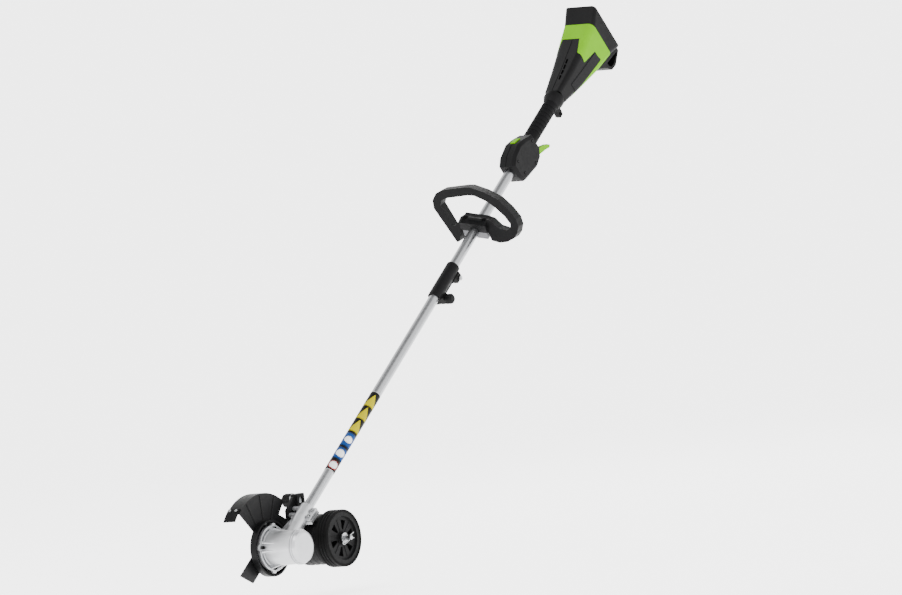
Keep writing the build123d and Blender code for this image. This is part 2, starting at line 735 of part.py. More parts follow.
with BuildPart() as guard_shell:
    add(sector(flank(drum_face), 48, guard_r, guard_from, guard_to, -guard_t))
    add(sector(flank(drum_face), guard_r - guard_t, guard_r, guard_from, guard_to, -guard_depth))
    add(sector(flank(drum_face - guard_depth), guard_r - 7, guard_r, guard_from, guard_to, guard_t))
    for angle in guard_bolt_angles:
        spot = (guard_bolt_ring * cos(radians(angle)), guard_bolt_ring * sin(radians(angle)))
        add(rod(flank(drum_face + 1), 2.0, -guard_t - 2, at=spot), mode=Mode.SUBTRACT)
    flap_seat = Plane(origin=head + along * (guard_r * cos(radians(95))) + over * (guard_r * sin(radians(95))),
                      x_dir=side, z_dir=along * cos(radians(95)) + over * sin(radians(95)))
    for bolt_x in (-56, -74):
        add(rod(flap_seat.offset(-8), 2.0, 12, at=(bolt_x, 0)), mode=Mode.SUBTRACT)

with BuildPart() as guard_flap:
    add(sector(flank(drum_face - 3), guard_r, guard_r + 3, 92, 108, -guard_depth + 4))
    for bolt_x in (-56, -74):
        add(rod(flap_seat.offset(-2), 2.0, 8, at=(bolt_x, 0)), mode=Mode.SUBTRACT)

with BuildPart() as guard_bolts:
    for angle in guard_bolt_angles:
        spot = (guard_bolt_ring * cos(radians(angle)), guard_bolt_ring * sin(radians(angle)))
        add(screw(flank(drum_face + drum_t), 3.4, 2.8, 2.0, drum_t + guard_t, at=spot))
    for bolt_x in (-56, -74):
        add(screw(flap_seat.offset(3.2), 3.4, 2.2, 2.0, 7.5, at=(bolt_x, 0)))

# ---- depth bracket, strut and knob ------------------------------------------------------------------
rail_back = rail_face + rail_t
slot_low = depth_up - depth_travel
slot_mid = depth_up - depth_travel / 2
bolt_head_r = 7.0
neck_t = 7.0
strut_face = rail_face - 0.3 - strut_t

with BuildPart() as depth_bracket:
    add(profile(level(rail_face), [(depth_back - 14, 63), (depth_back + 13, 63), (depth_back + 13, depth_up + 15),
                                   (depth_back - 14, depth_up + 15)], rail_t, 3))
    add(profile(level(rail_face), [(66, 54), (66, 78), (94, 106), (depth_back - 13, 106),
                                   (depth_back - 13, 64), (88, 54)], neck_t, 2))
    with BuildSketch(level(rail_face)):
        with Locations((depth_back, slot_mid)):
            SlotCenterToCenter(depth_travel, 2 * (depth_bolt_r + 0.3), rotation=90)
    extrude(amount=rail_t, mode=Mode.SUBTRACT)
    with BuildSketch(level(rail_face + neck_t)):
        with Locations((depth_back, slot_mid)):
            SlotCenterToCenter(depth_travel, 2 * (bolt_head_r + 0.6), rotation=90)
    extrude(amount=rail_t, mode=Mode.SUBTRACT)
    for boss in boss_stations:
        add(rod(flank(rail_face - 1), flange_bolt_r, neck_t + 2, at=(boss, boss_over)), mode=Mode.SUBTRACT)

with BuildPart() as wheel_strut:
    add(profile(level(strut_face), [(depth_back - 13, depth_up + 14), (depth_back + 12, depth_up + 14),
                                    (depth_back + 12, 62), (axle_back + 13, axle_up + 10),
                                    (axle_back + 10, axle_up - 12), (axle_back - 10, axle_up - 12),
                                    (depth_back - 13, 50)], strut_t, 5))
    add(rod(level(strut_face - 1), axle_r, strut_t + 2, at=(axle_back, axle_up)), mode=Mode.SUBTRACT)
    add(rod(level(strut_face - 1), depth_bolt_r, strut_t + 2, at=(depth_back, depth_up)), mode=Mode.SUBTRACT)

washer_r = 15.0
washer_plate = 2.8
knob_seat = strut_face - washer_plate - gap
knob_len = 28.0
outboard = Plane(origin=level(knob_seat).origin, x_dir=(0, -1, 0), z_dir=-side)

with BuildPart() as depth_bolt:
    add(rod(level(rail_face + neck_t + 0.3), bolt_head_r, 4, at=(depth_back, depth_up)))
    add(rod(level(knob_seat - 15), depth_bolt_r, rail_face + neck_t + 0.3 - knob_seat + 15,
            at=(depth_back, depth_up)))
    add(rod(level(strut_face), washer_r, -washer_plate, depth_bolt_r, at=(depth_back, depth_up)))

with BuildPart() as depth_knob:
    add(hand_knob(outboard, knob_r, knob_len, depth_bolt_r + slip, 9, at=(-depth_back, depth_up)))

# ---- axle, roller and wheel -----------------------------------------------------------------------------
roller_to = roller_from + roller_w
wheel_from = roller_to + washer_t + 0.3
wheel_to = wheel_from + tyre_w
axle_end = wheel_to + 22.0
pin_x = wheel_to + 9.0
pin_tilt = 21.0
pin_wire = 1.25
hub_at = (axle_back, axle_up)


def clip_point(run, rise_by):
    """Point of the hairpin, run along its straight leg and rise_by across it."""
    tilt = radians(pin_tilt)
    back = axle_back + run * cos(tilt) - rise_by * sin(tilt)
    up = axle_up + run * sin(tilt) + rise_by * cos(tilt)
    return head + Vector(pin_x, back, up)


with BuildPart() as axle:
    add(rod(level(strut_face - 4), 8, 4, at=hub_at))
    add(rod(level(strut_face - 4), axle_r, axle_end - strut_face + 4, at=hub_at))
    chamfer(axle.faces().sort_by(Axis.X)[-1].edges(), 1.2)
    add(rod(Plane(origin=clip_point(-20, 0), x_dir=side, z_dir=clip_point(1, 0) - clip_point(0, 0)), 1.5, 40),
        mode=Mode.SUBTRACT)

with BuildPart() as axle_washers:
    add(rod(level(roller_from - 0.2), 9, -1.5, axle_r, at=hub_at))
    add(rod(level(roller_to + 0.15), 10, washer_t, axle_r, at=hub_at))
    add(rod(level(wheel_to + 0.3), 12, 2.5, axle_r, at=hub_at))

with BuildPart() as hairpin:
    with BuildLine():
        clip_line = FilletPolyline(clip_point(27, 0), clip_point(-17, 0), clip_point(-24, -3.5),
                                   clip_point(-17, -8), clip_point(15, -8), clip_point(22, -12),
                                   radius=3)
    with BuildSketch(Plane(origin=clip_line @ 0, z_dir=clip_line % 0)):
        Circle(pin_wire)
    sweep()

with BuildPart() as roller:
    add(rod(level(roller_from), roller_r, roller_w, roller_r - 4, at=hub_at))
    add(rod(level(roller_from + roller_w / 2 - 4), roller_r - 3, 8, at=hub_at))
    add(rod(level(roller_from), 12, roller_w, at=hub_at))
    add(rod(level(roller_from - 1), axle_r + slip, roller_w + 2, at=hub_at), mode=Mode.SUBTRACT)

pocket_count = 6
pocket_turn = 15.0

with BuildPart() as outer_wheel:
    add(rod(level(wheel_from + 1), rim_r, tyre_w - 2, rim_r - 9, at=hub_at))
    add(rod(level(wheel_from + 4), rim_r - 6, tyre_w - 10, at=hub_at))
    add(rod(level(wheel_from), 13, tyre_w, at=hub_at))
    with BuildSketch(level(wheel_to - 6)):
        with Locations(hub_at):
            with PolarLocations(33, pocket_count, start_angle=pocket_turn):
                Polygon((-13, -2.5), (9, -8.5), (9, 8.5), (-13, 2.5), align=None)
    extrude(amount=-14, mode=Mode.SUBTRACT)
    add(rod(level(wheel_from - 1), axle_r + slip, tyre_w + 2, at=hub_at), mode=Mode.SUBTRACT)

with BuildPart() as outer_tyre:
    add(rod(level(wheel_from), tyre_r, tyre_w, rim_r, at=hub_at))
    for index in range(3):
        groove = wheel_from + 6.5 + index * 8
        add(rod(level(groove), tyre_r + 1, 3, tyre_r - 2, at=hub_at), mode=Mode.SUBTRACT)

# ---- write every piece --------------------------------------------------------------------------------
pieces = {
    "lower_tube": lower_tube, "upper_tube": upper_tube, "tube_label": tube_label,
    "lower_harness": lower_harness, "upper_harness": upper_harness,
    "coupler_sleeve": coupler_sleeve, "coupler_bolt": coupler_bolt, "coupler_knob": coupler_knob,
    "handle_loop": handle_loop, "handle_clamp": handle_clamp, "handle_bolts": handle_bolts,
    "handle_knob": handle_knob, "trigger_housing_left": trigger_housing_left,
    "trigger_housing_right": trigger_housing_right, "trigger_pin": trigger_pin, "trigger": trigger,
    "trigger_spring": trigger_spring, "trigger_switch": trigger_switch,
    "lockout_button": lockout_button, "lockout_spring": lockout_spring, "rear_grip": rear_grip,
    "grip_collar": grip_collar, "power_housing_left": power_housing_left,
    "power_housing_right": power_housing_right, "housing_screws": housing_screws,
    "colour_band": colour_band, "rear_frame": rear_frame, "battery_latch": battery_latch,
    "latch_spring": latch_spring, "badge_plate": badge_plate, "terminal_block": terminal_block,
    "control_board": control_board, "motor_housing": motor_housing, "bearing_plate": bearing_plate,
    "flange_screws": flange_screws, "socket_bolts": socket_bolts, "stator": stator,
    "front_bearing": front_bearing, "rear_bearing": rear_bearing, "rotor": rotor, "spindle": spindle,
    "inner_flange": inner_flange, "blade": blade, "outer_flange": outer_flange, "blade_nut": blade_nut,
    "hub_plate": hub_plate, "guard_shell": guard_shell, "guard_flap": guard_flap,
    "guard_bolts": guard_bolts, "depth_bracket": depth_bracket, "wheel_strut": wheel_strut,
    "depth_bolt": depth_bolt, "depth_knob": depth_knob, "axle": axle, "axle_washers": axle_washers,
    "hairpin": hairpin, "roller": roller, "outer_wheel": outer_wheel, "outer_tyre": outer_tyre,
}
for label, piece in pieces.items():
    piece.part.label = label
    export_step(piece.part, f"parts/{label}.step")
print(len(pieces), "pieces written")
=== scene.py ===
"""Studio scene of a battery lawn edger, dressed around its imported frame.

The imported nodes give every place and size. This script rounds their edges, builds the moulded skins,
ribs, panels and trim that they leave out, and gives each piece its finish.
"""

import json
import logging
import math
from dataclasses import dataclass
from enum import Enum
from typing import Callable, Iterable, Sequence

import bmesh
import bpy
from mathutils import Matrix, Vector


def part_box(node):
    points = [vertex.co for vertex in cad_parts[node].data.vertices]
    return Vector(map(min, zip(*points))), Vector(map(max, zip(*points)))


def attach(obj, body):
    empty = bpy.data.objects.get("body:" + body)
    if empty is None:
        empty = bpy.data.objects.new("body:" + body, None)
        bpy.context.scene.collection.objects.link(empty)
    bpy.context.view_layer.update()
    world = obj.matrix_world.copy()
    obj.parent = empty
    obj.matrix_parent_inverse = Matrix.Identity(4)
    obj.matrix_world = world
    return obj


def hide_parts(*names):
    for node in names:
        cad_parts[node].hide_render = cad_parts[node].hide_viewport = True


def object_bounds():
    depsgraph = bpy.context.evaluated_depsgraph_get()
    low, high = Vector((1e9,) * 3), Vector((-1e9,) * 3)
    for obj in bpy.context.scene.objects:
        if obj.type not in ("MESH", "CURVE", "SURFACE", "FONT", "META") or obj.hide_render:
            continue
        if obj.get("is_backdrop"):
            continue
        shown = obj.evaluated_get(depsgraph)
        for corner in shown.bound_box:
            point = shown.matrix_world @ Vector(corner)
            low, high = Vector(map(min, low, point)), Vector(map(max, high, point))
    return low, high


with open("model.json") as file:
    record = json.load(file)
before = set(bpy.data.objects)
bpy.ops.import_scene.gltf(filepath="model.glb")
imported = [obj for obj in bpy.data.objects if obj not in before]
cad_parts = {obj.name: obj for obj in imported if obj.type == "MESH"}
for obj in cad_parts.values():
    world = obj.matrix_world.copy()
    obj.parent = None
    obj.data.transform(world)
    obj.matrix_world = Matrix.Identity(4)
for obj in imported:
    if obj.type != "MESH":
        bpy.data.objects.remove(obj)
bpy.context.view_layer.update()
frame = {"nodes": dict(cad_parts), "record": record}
LOG = logging.getLogger("edger")
RECORD = frame["record"]
MM = 0.001
BODY_OF = {node: body for body, nodes in RECORD["behaviour"]["bodies"].items() for node in nodes}
SLOT_OF = {entry["node"]: entry["material_slot"] for entry in RECORD["subparts"]}
JOINTS = {joint["name"]: joint for joint in RECORD["behaviour"]["joints"]}
MOUNTS = {mount["name"]: mount for mount in RECORD["mounts"]}

SIDE = Vector((1.0, 0.0, 0.0))
ALONG = Vector(MOUNTS["rear_grip"]["axis"]).normalized()
OVER = SIDE.cross(ALONG)
HEAD = Vector(JOINTS["rotor_spin"]["pos_m"])
SHAFT = Matrix.Translation(HEAD) @ Matrix((SIDE, ALONG, OVER)).transposed().to_4x4()
UPRIGHT = Matrix.Translation(HEAD)


class Body(Enum):
    """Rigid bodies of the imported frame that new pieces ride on."""

    REAR = "rear_section"
    LOWER = "lower_section"
    WHEEL = "wheel_body"
    ROLLER = "roller_body"


class Slot(Enum):
    """Material slots of the record that new pieces take their finish from."""

    BLACK = "black_plastic"
    PANEL = "panel_plastic"
    LIME = "lime_plastic"
    CAST = "cast_alloy"
    ZINC = "zinc_steel"
    STEEL = "black_steel"
    LABEL = "label_film"
    TREAD = "tread"


# ---- finishes ------------------------------------------------------------------------------------
class Nodes:
    """Short hand for building one material's node tree."""

    def __init__(self, name: str) -> None:
        """Starts a material with its shader and an object-space position.

        Args:
            name: name of the material.
        """
        self.material = bpy.data.materials.new(name)
        self.material.use_nodes = True
        self.tree = self.material.node_tree
        self.shader = self.tree.nodes["Principled BSDF"]
        self.place = self.tree.nodes.new("ShaderNodeTexCoord").outputs["Object"]

    def add(self, kind: str, **settings: object) -> bpy.types.Node:
        """Adds a node and sets its properties.

        Args:
            kind: the node's type name.
            **settings: properties of the node.

        Returns:
            The new node.
        """
        node = self.tree.nodes.new(kind)
        for key, value in settings.items():
            setattr(node, key, value)
        return node

    def link(self, source: bpy.types.NodeSocket, target: bpy.types.NodeSocket) -> None:
        """Joins an output to an input."""
        self.tree.links.new(source, target)

    def noise(self, scale: float, detail: float = 3.0, stretch: Sequence[float] = (1, 1, 1),
              turn: Sequence[float] = (0, 0, 0)) -> bpy.types.NodeSocket:
        """Noise in object space.

        Args:
            scale: cells per metre.
            detail: octaves.
            stretch: scale along each axis after the turn.
            turn: rotation of the pattern, in radians.

        Returns:
            The factor output.
        """
        mapping = self.add("ShaderNodeMapping")
        mapping.inputs["Scale"].default_value = stretch
        mapping.inputs["Rotation"].default_value = turn
        texture = self.add("ShaderNodeTexNoise")
        texture.inputs["Scale"].default_value = scale
        texture.inputs["Detail"].default_value = detail
        self.link(self.place, mapping.inputs["Vector"])
        self.link(mapping.outputs["Vector"], texture.inputs["Vector"])
        return texture.outputs["Fac"]

    def spread(self, source: bpy.types.NodeSocket, low: float, high: float, start: float = 0.3,
               stop: float = 0.7) -> bpy.types.NodeSocket:
        """Maps start..stop of a value to low..high.

        Args:
            source: the value.
            low: result at start.
            high: result at stop.
            start: lower end of the value.
            stop: its upper end.

        Returns:
            The mapped value.
        """
        node = self.add("ShaderNodeMapRange")
        for key, value in (("From Min", start), ("From Max", stop), ("To Min", low), ("To Max", high)):
            node.inputs[key].default_value = value
        self.link(source, node.inputs["Value"])
        return node.outputs["Result"]

    def blend(self, factor: bpy.types.NodeSocket, first: object, second: object) -> bpy.types.NodeSocket:
        """Mixes two colours, each a socket or a plain colour.

        Args:
            factor: share of the second colour.
            first: the first colour.
            second: the second colour.

        Returns:
            The mixed colour.
        """
        node = self.add("ShaderNodeMix", data_type="RGBA")
        self.link(factor, node.inputs["Factor"])
        for value, socket in ((first, node.inputs[6]), (second, node.inputs[7])):
            if isinstance(value, bpy.types.NodeSocket):
                self.link(value, socket)
            else:
                socket.default_value = (*value, 1.0)
        return node.outputs[2]

    def bump(self, height: bpy.types.NodeSocket, depth: float, below: object = None) -> bpy.types.NodeSocket:
        """Bump from a height, on top of another normal.

        Args:
            height: the height's socket.
            depth: its full height, in metres.
            below: normal that the bump lies on, or None.

        Returns:
            The normal.
        """
        node = self.add("ShaderNodeBump")
        node.inputs["Strength"].default_value = 1.0
        node.inputs["Distance"].default_value = depth
        self.link(height, node.inputs["Height"])
        if below is not None:
            self.link(below, node.inputs["Normal"])
        return node.outputs["Normal"]


@dataclass(frozen=True)
class Finish:
    """One surface finish with its grain, mottling and edge wear.

    Attributes:
        name: name of the material.
        colour: linear base colour.
        rough: mean roughness.
        metal: 1 for bare metal.
        grain: grains per metre.
        depth: height of the grain, in metres.
        mottle: share by which the colour varies.
        stretch: scale of the grain along each shaft axis.
        wear: share by which edges are lighter.
        coat: clear coat weight.
        edge: radius of the rounded edge, in metres.
        shine: specular level of the surface.
    """

    name: str
    colour: tuple[float, float, float]
    rough: float
    metal: float = 0.0
    grain: float = 1600.0
    depth: float = 0.00006
    mottle: float = 0.12
    stretch: tuple[float, float, float] = (1.0, 1.0, 1.0)
    wear: float = 0.0
    coat: float = 0.0
    edge: float = 0.0005
    shine: float = 0.5

    def material(self) -> bpy.types.Material:
        """The finish as a material, made once.

        Returns:
            The material.
        """
        made = bpy.data.materials.get(self.name)
        return made if made is not None else self.make()

    def make(self) -> bpy.types.Material:
        """Builds the node tree.

        Returns:
            The new material.
        """
        tree = Nodes(self.name)
        shader = tree.shader
        cloud = tree.noise(38.0, 4.0)
        dark = tuple(c * (1 - self.mottle) for c in self.colour)
        light = tuple(min(1.0, c * (1 + self.mottle)) for c in self.colour)
        colour = tree.blend(tree.spread(cloud, 0.0, 1.0), dark, light)
        rounded = tree.add("ShaderNodeBevel", samples=4)
        rounded.inputs["Radius"].default_value = self.edge
        if self.wear > 0:
            colour = self.worn(tree, colour)
        tree.link(colour, shader.inputs["Base Color"])
        fine = tree.noise(self.grain, 2.0, self.stretch, (math.radians(36.0), 0, 0))
        smudge = tree.noise(150.0, 5.0)
        rough = tree.spread(smudge, self.rough * 0.82, min(1.0, self.rough * 1.18))
        tree.link(rough, shader.inputs["Roughness"])
        tree.link(tree.bump(fine, self.depth, rounded.outputs["Normal"]), shader.inputs["Normal"])
        shader.inputs["Metallic"].default_value = self.metal
        shader.inputs["Coat Weight"].default_value = self.coat
        shader.inputs["Specular IOR Level"].default_value = self.shine
        shader.inputs["Coat Roughness"].default_value = 0.2
        return tree.material

    def worn(self, tree: Nodes, colour: bpy.types.NodeSocket) -> bpy.types.NodeSocket:
        """Lightens the colour where a wide rounding of the edges leaves the true normal.

        Args:
            tree: the material's nodes.
            colour: the unworn colour.

        Returns:
            The worn colour.
        """
        wide = tree.add("ShaderNodeBevel", samples=4)
        wide.inputs["Radius"].default_value = self.edge * 2.0
        dot = tree.add("ShaderNodeVectorMath", operation="DOT_PRODUCT")
        tree.link(wide.outputs["Normal"], dot.inputs[0])
        tree.link(tree.add("ShaderNodeNewGeometry").outputs["Normal"], dot.inputs[1])
        mask = tree.spread(dot.outputs["Value"], 1.0, 0.0, 0.86, 0.995)
        broken = tree.add("ShaderNodeMath", operation="MULTIPLY")
        tree.link(mask, broken.inputs[0])
        tree.link(tree.spread(tree.noise(420.0, 4.0), 0.0, self.wear), broken.inputs[1])
        return tree.blend(broken.outputs[0], colour, (0.42, 0.42, 0.43))


BLACK = Finish("moulded_black", (0.0032, 0.0032, 0.0034), 0.50, wear=0.02, edge=0.0007, shine=0.07)
PANEL = Finish("panel_black", (0.003, 0.003, 0.0032), 0.40, grain=2200.0, depth=0.00003, shine=0.09)
LIME = Finish("lime_gloss", (0.095, 0.265, 0.0), 0.45, grain=900.0, depth=0.00002, mottle=0.05, shine=0.03)
RUBBER = Finish("ribbed_rubber", (0.0032, 0.0032, 0.0034), 0.68, grain=900.0, depth=0.00018, shine=0.06)
CAST = Finish("shot_cast_alloy", (0.42, 0.425, 0.435), 0.34, metal=0.85, grain=1300.0, depth=0.0001,
              mottle=0.06, wear=0.25, edge=0.001)
TUBE = Finish("drawn_tube", (0.32, 0.325, 0.335), 0.27, metal=1.0, grain=1500.0, depth=0.00002, mottle=0.04,
              stretch=(1.0, 0.02, 1.0))
CLAMP = Finish("grey_cast_clamp", (0.085, 0.085, 0.09), 0.42, metal=0.8, grain=1300.0, depth=0.0001,
               mottle=0.08, wear=0.15, edge=0.0008)
ZINC = Finish("zinc_plate", (0.30, 0.305, 0.31), 0.26, metal=1.0, grain=1100.0, depth=0.00003, mottle=0.1)
STEEL = Finish("black_coat", (0.003, 0.003, 0.0032), 0.42, grain=800.0, depth=0.00007, wear=0.03, shine=0.09)
EDGE_STEEL = Finish("ground_blade", (0.0045, 0.0045, 0.0048), 0.38, grain=1400.0, depth=0.00003,
                    stretch=(1.0, 0.04, 1.0), wear=0.25, shine=0.1)
FILM = Finish("film_clear", (0.40, 0.405, 0.41), 0.4, grain=2500.0, depth=0.00001, mottle=0.03)
FILM_BLACK = Finish("film_black", (0.003, 0.003, 0.003), 0.4, grain=2500.0, depth=0.00001, mottle=0.05,
                    shine=0.08)
FILM_WHITE = Finish("film_white", (0.60, 0.60, 0.60), 0.4, grain=2500.0, depth=0.00001, mottle=0.02)
FILM_BLUE = Finish("film_blue", (0.002, 0.03, 0.13), 0.4, grain=2500.0, depth=0.00001, mottle=0.03, shine=0.1)
FILM_YELLOW = Finish("film_yellow", (0.30, 0.26, 0.0), 0.45, grain=2500.0, depth=0.00001, mottle=0.03,
                     shine=0.03)
FILM_RED = Finish("film_red", (0.22, 0.003, 0.003), 0.4, grain=2500.0, depth=0.00001, mottle=0.03, shine=0.1)
TREAD = Finish("tyre_rubber", (0.003, 0.003, 0.003), 0.6, grain=1000.0, depth=0.00012, edge=0.0008,
               shine=0.05)
WINDING = Finish("copper_enamel", (0.30, 0.10, 0.03), 0.35, metal=0.8, grain=1800.0, depth=0.0002)
BOARD = Finish("board_green", (0.02, 0.16, 0.06), 0.4, grain=1200.0, depth=0.00005)
CABLE = Finish("cable_jacket", (0.03, 0.03, 0.03), 0.55)
# Near-black finish: painted shade inside the vent slots and the screw recesses, and the dark parting lines of
# the shells.
SHADE_AND_SEAM = Finish("slot_shadow", (0.0004, 0.0004, 0.0004), 0.9, shine=0.0)

SLOT_FINISH = {
    "aluminium_tube": TUBE, "label_film": FILM, "black_plastic": BLACK, "panel_plastic": PANEL,
    "lime_plastic": LIME, "grip_rubber": RUBBER, "cast_alloy": CAST, "zinc_steel": ZINC,
    "black_steel": STEEL, "blade_steel": EDGE_STEEL, "lamination": WINDING, "tread": TREAD,
    "board": BOARD, "cable": CABLE, "spring_wire": ZINC,
}
NODE_FINISH = {"handle_clamp": CLAMP}


# ---- mesh helpers ----------------------------------------------------------------------------------
def ring_points(half: float, low: float, high: float, corner: float, arc: int = 9,
                flat: int = 6) -> list[tuple[float, float]]:
    """Points round a rectangle with rounded corners.

    Args:
        half: half width.
        low: lower edge.
        high: upper edge.
        corner: corner radius.
        arc: points on each corner.
        flat: points on each side between two corners.

    Returns:
        The points as (x, y).
    """
    middle, tall = (low + high) / 2, (high - low) / 2
    corners = [(half - corner, tall - corner), (corner - half, tall - corner),
               (corner - half, corner - tall), (half - corner, corner - tall)]
    points: list[tuple[float, float]] = []
    for index, (x, y) in enumerate(corners):
        for step in range(arc):
            turn = math.pi / 2 * (index + step / (arc - 1))
            points.append((x + corner * math.cos(turn), y + corner * math.sin(turn) + middle))
        turn = math.pi / 2 * (index + 1)
        ahead = corners[(index + 1) % 4]
        for step in range(1, flat + 1):
            share = step / (flat + 1)
            points.append((x + (ahead[0] - x) * share + corner * math.cos(turn),
                           y + (ahead[1] - y) * share + corner * math.sin(turn) + middle))
    return points


def loft(sections: Sequence[tuple[float, Sequence[tuple[float, float]]]]) -> bmesh.types.BMesh:
    """Open skin through rings of equal count, with x across, y along and z over the shaft.

    Args:
        sections: pairs of (place along y, ring of (x, z) points).

    Returns:
        The skin.
    """
    count = len(sections[0][1])
    bm = bmesh.new()
    ring = bmesh.ops.create_circle(bm, segments=count, radius=1.0)["verts"]
    for vert, (x, z) in zip(ring, sections[0][1]):
        vert.co = Vector((x, sections[0][0], z))
    edges = list(bm.edges)
    for place, points in sections[1:]:
        grown = bmesh.ops.extrude_edge_only(bm, edges=edges)["geom"]
        partner = {}
        edges = [item for item in grown if isinstance(item, bmesh.types.BMEdge)]
        fresh = {item for item in grown if isinstance(item, bmesh.types.BMVert)}
        for vert in fresh:
            for edge in vert.link_edges:
                other = edge.other_vert(vert)
                if other not in fresh:
                    partner[other] = vert
        ring = [partner[vert] for vert in ring]
        for vert, (x, z) in zip(ring, points):
            vert.co = Vector((x, place, z))
    bmesh.ops.recalc_face_normals(bm, faces=bm.faces)
    middle = sum((z for _, z in sections[0][1]), 0.0) / count
    outwards = 0.0
    for face in bm.faces:
        centre = face.calc_center_median()
        outwards += face.normal.dot(centre - Vector((0, centre.y, middle)))
    if outwards < 0:
        bmesh.ops.reverse_faces(bm, faces=bm.faces)
    return bm


def keep_side(bm: bmesh.types.BMesh, point: Sequence[float], normal: Sequence[float]) -> None:
    """Cuts with a plane and keeps what lies behind it.

    Args:
        bm: mesh to cut.
        point: a point on the plane.
        normal: its direction, towards the side that goes.
    """
    geometry = list(bm.verts) + list(bm.edges) + list(bm.faces)
    bmesh.ops.bisect_plane(bm, geom=geometry, plane_co=Vector(point), plane_no=Vector(normal),
                           clear_outer=True)


def box(bm: bmesh.types.BMesh, size: Sequence[float], at: Sequence[float], turn: Matrix = Matrix()) -> list:
    """Adds a box.

    Args:
        bm: mesh to add to.
        size: its full size.
        at: its middle.
        turn: a turn about its middle.

    Returns:
        Its vertices.
    """
    place = Matrix.Translation(Vector(at)) @ turn @ Matrix.Diagonal((*size, 1.0))
    return bmesh.ops.create_cube(bm, size=1.0, matrix=place)["verts"]


def disc(bm: bmesh.types.BMesh, radius: float, length: float, at: Sequence[float], axis: Sequence[float],
         top: float = 1.0, segments: int = 48) -> list:
    """Adds a round bar or a cone along an axis.

    Args:
        bm: mesh to add to.
        radius: radius at its start.
        length: its length.
        at: its middle.
        axis: its direction.
        top: share of the radius at its end.
        segments: sides.

    Returns:
        Its vertices.
    """
    place = Matrix.Translation(Vector(at)) @ Vector(axis).to_track_quat("Z", "Y").to_matrix().to_4x4()
    return bmesh.ops.create_cone(bm, cap_ends=True, segments=segments, radius1=radius, radius2=radius * top,
                                 depth=length, matrix=place)["verts"]


def hoop(bm: bmesh.types.BMesh, radius: float, wire: float, centre: Sequence[float], steps: int = 96,
         flat: float = 1.0) -> None:
    """Adds a ring of round wire about a line along x.

    Args:
        bm: mesh to add to.
        radius: radius of the ring.
        wire: radius of the wire.
        centre: middle of the ring.
        steps: faces round the ring.
        flat: height of the wire across the ring, as a share of its width.
    """
    place = Matrix.Translation(Vector(centre) + Vector((0, radius, 0))) @ Matrix.Diagonal((flat, 1, 1, 1))
    before = set(bm.verts)
    verts = bmesh.ops.create_circle(bm, segments=12, radius=wire, matrix=place)["verts"]
    edges = list({edge for vert in verts for edge in vert.link_edges})
    bmesh.ops.spin(bm, geom=verts + edges, cent=Vector(centre), axis=SIDE, angle=2 * math.pi, steps=steps,
                   use_merge=True)
    bmesh.ops.remove_doubles(bm, verts=[v for v in bm.verts if v not in before], dist=1e-6)
    bmesh.ops.recalc_face_normals(bm, faces=bm.faces)


def finish_piece(bm: bmesh.types.BMesh, name: str, body: str, finish: Finish,
                 place: Matrix = Matrix(), bevel: float = 0.0, segments: int = 2, smooth: float = 40.0,
                 thick: float = 0.0, replaces: Iterable[str] = ()) -> bpy.types.Object:
    """Turns a bmesh into a dressed piece that rides on a body.

    Args:
        bm: the mesh, freed here.
        name: name of the piece.
        body: body it rides on.
        finish: its finish.
        place: from the mesh's coordinates to the row frame.
        bevel: width of the rounding of its edges.
        segments: steps of that rounding.
        smooth: angle up to which faces shade smoothly, in degrees.
        thick: wall grown inwards from an open skin.
        replaces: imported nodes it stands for.

    Returns:
        The piece.
    """
    bm.transform(place)
    mesh = bpy.data.meshes.new(name)
    for face in bm.faces:
        face.smooth = True
    bm.to_mesh(mesh)
    bm.free()
    mesh.set_sharp_from_angle(angle=math.radians(smooth))
    piece = bpy.data.objects.new(name, mesh)
    bpy.context.scene.collection.objects.link(piece)
    mesh.materials.append(finish.material())
    if thick:
        wall = piece.modifiers.new("wall", "SOLIDIFY")
        wall.thickness, wall.offset = abs(thick), -1.0 if thick > 0 else 1.0
    if bevel:
        edge = piece.modifiers.new("edge", "BEVEL")
        edge.width, edge.segments, edge.limit_method = bevel, segments, "ANGLE"
        edge.angle_limit = math.radians(smooth)
        edge.miter_outer = "MITER_ARC"
        piece.modifiers.new("normals", "WEIGHTED_NORMAL").keep_sharp = True
    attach(piece, body)
    if replaces:
        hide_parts(*replaces)
    LOG.info("%s on %s, %d faces", name, body, len(mesh.polygons))
    return piece


def merged(node: str) -> bmesh.types.BMesh:
    """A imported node's mesh with its corners joined and its flat triangles merged.

    Args:
        node: name of the node.

    Returns:
        The mesh.
    """
    bm = bmesh.new()
    bm.from_mesh(frame["nodes"][node].data)
    bmesh.ops.remove_doubles(bm, verts=bm.verts, dist=0.000004)
    bmesh.ops.dissolve_limit(bm, angle_limit=math.radians(0.4), verts=bm.verts, edges=bm.edges)
    return bm


@dataclass
class Rounded:
    """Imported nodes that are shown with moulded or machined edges.

    Attributes:
        widths: width of the rounding of each node, in metres.
        segments: steps of the rounding.
    """

    widths: dict[str, float]
    segments: int = 3

    def build(self) -> None:
        """Makes a rounded copy of each node, which stands for it."""
        for node, width in self.widths.items():
            slot = SLOT_OF[node]
            finish = NODE_FINISH.get(node, SLOT_FINISH[slot])
            finish_piece(merged(node), f"{node}_shape", BODY_OF[node], finish, bevel=width,
                         segments=self.segments, smooth=38.0, replaces=[node])


